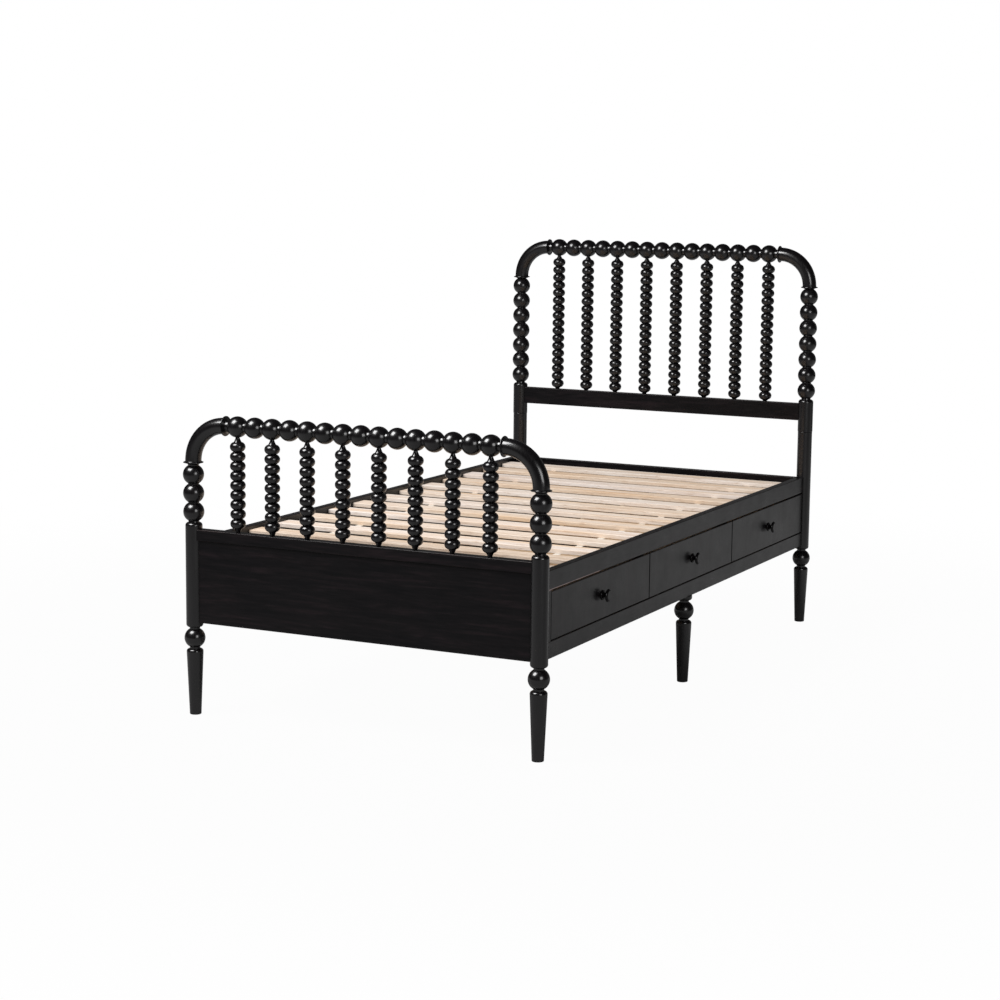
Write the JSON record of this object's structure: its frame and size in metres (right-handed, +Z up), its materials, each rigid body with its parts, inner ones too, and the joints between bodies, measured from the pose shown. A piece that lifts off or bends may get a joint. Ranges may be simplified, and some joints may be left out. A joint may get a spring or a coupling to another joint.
{
  "type": "spindle bed",
  "caption": "Turned spindle bed with beaded posts and rails, tapered ball-topped legs, slatted deck and a row of drawers under one side.",
  "frame": {"origin": "on the floor under the middle of the bed", "axes": "+X towards the side with the drawers, +Y from the foot to the head, +Z up"},
  "size_m": [1.0866, 2.0626, 1.2283],
  "materials": {
    "black_lacquer": "satin black lacquer over turned and sawn hardwood",
    "knob_lacquer": "gloss black lacquer on turned knobs",
    "slat_wood": "bare sanded pine",
    "drawer_wood": "bare sanded wood and plywood",
    "webbing": "woven flat strap",
    "bolt_steel": "zinc plated"
  },
  "bodies": {
    "bed_frame": {"bed_bolts": "bolt_steel", "centre_spine": "black_lacquer", "deck_slats": "slat_wood", "deck_straps": "webbing", "drawer_bank_stiles": "black_lacquer", "drawer_partitions": "black_lacquer", "drawer_runners": "drawer_wood", "foot_bend_left": "black_lacquer", "foot_bend_right": "black_lacquer", "foot_cap_rail": "black_lacquer", "foot_leg_left": "black_lacquer", "foot_leg_right": "black_lacquer", "foot_panel": "black_lacquer", "foot_post_left": "black_lacquer", "foot_post_right": "black_lacquer", "foot_spindle_1": "black_lacquer", "foot_spindle_2": "black_lacquer", "foot_spindle_3": "black_lacquer", "foot_spindle_4": "black_lacquer", "foot_spindle_5": "black_lacquer", "foot_spindle_6": "black_lacquer", "foot_spindle_7": "black_lacquer", "foot_spindle_8": "black_lacquer", "foot_top_rail": "black_lacquer", "head_bend_left": "black_lacquer", "head_bend_right": "black_lacquer", "head_leg_left": "black_lacquer", "head_leg_right": "black_lacquer", "head_lower_rail": "black_lacquer", "head_panel": "black_lacquer", "head_post_lower_left": "black_lacquer", "head_post_lower_right": "black_lacquer", "head_post_upper_left": "black_lacquer", "head_post_upper_right": "black_lacquer", "head_spindle_1": "black_lacquer", "head_spindle_2": "black_lacquer", "head_spindle_3": "black_lacquer", "head_spindle_4": "black_lacquer", "head_spindle_5": "black_lacquer", "head_spindle_6": "black_lacquer", "head_spindle_7": "black_lacquer", "head_spindle_8": "black_lacquer", "head_top_rail": "black_lacquer", "middle_leg": "black_lacquer", "rail_ledgers": "black_lacquer", "side_rail_left": "black_lacquer", "side_rail_right_lower": "black_lacquer", "side_rail_right_upper": "black_lacquer"},
    "foot_drawer": {"drawer_1_bottom": "drawer_wood", "drawer_1_box": "drawer_wood", "drawer_1_front": "black_lacquer", "drawer_1_knob": "knob_lacquer"},
    "middle_drawer": {"drawer_2_bottom": "drawer_wood", "drawer_2_box": "drawer_wood", "drawer_2_front": "black_lacquer", "drawer_2_knob": "knob_lacquer"},
    "head_drawer": {"drawer_3_bottom": "drawer_wood", "drawer_3_box": "drawer_wood", "drawer_3_front": "black_lacquer", "drawer_3_knob": "knob_lacquer"}
  },
  "joints": [
    {"name": "foot_drawer_slide", "type": "slide", "parent": "bed_frame", "child": "foot_drawer", "axis": [1, 0, 0], "range_m": [0, 0.33]},
    {"name": "middle_drawer_slide", "type": "slide", "parent": "bed_frame", "child": "middle_drawer", "axis": [1, 0, 0], "range_m": [0, 0.33]},
    {"name": "head_drawer_slide", "type": "slide", "parent": "bed_frame", "child": "head_drawer", "axis": [1, 0, 0], "range_m": [0, 0.33]}
  ]
}
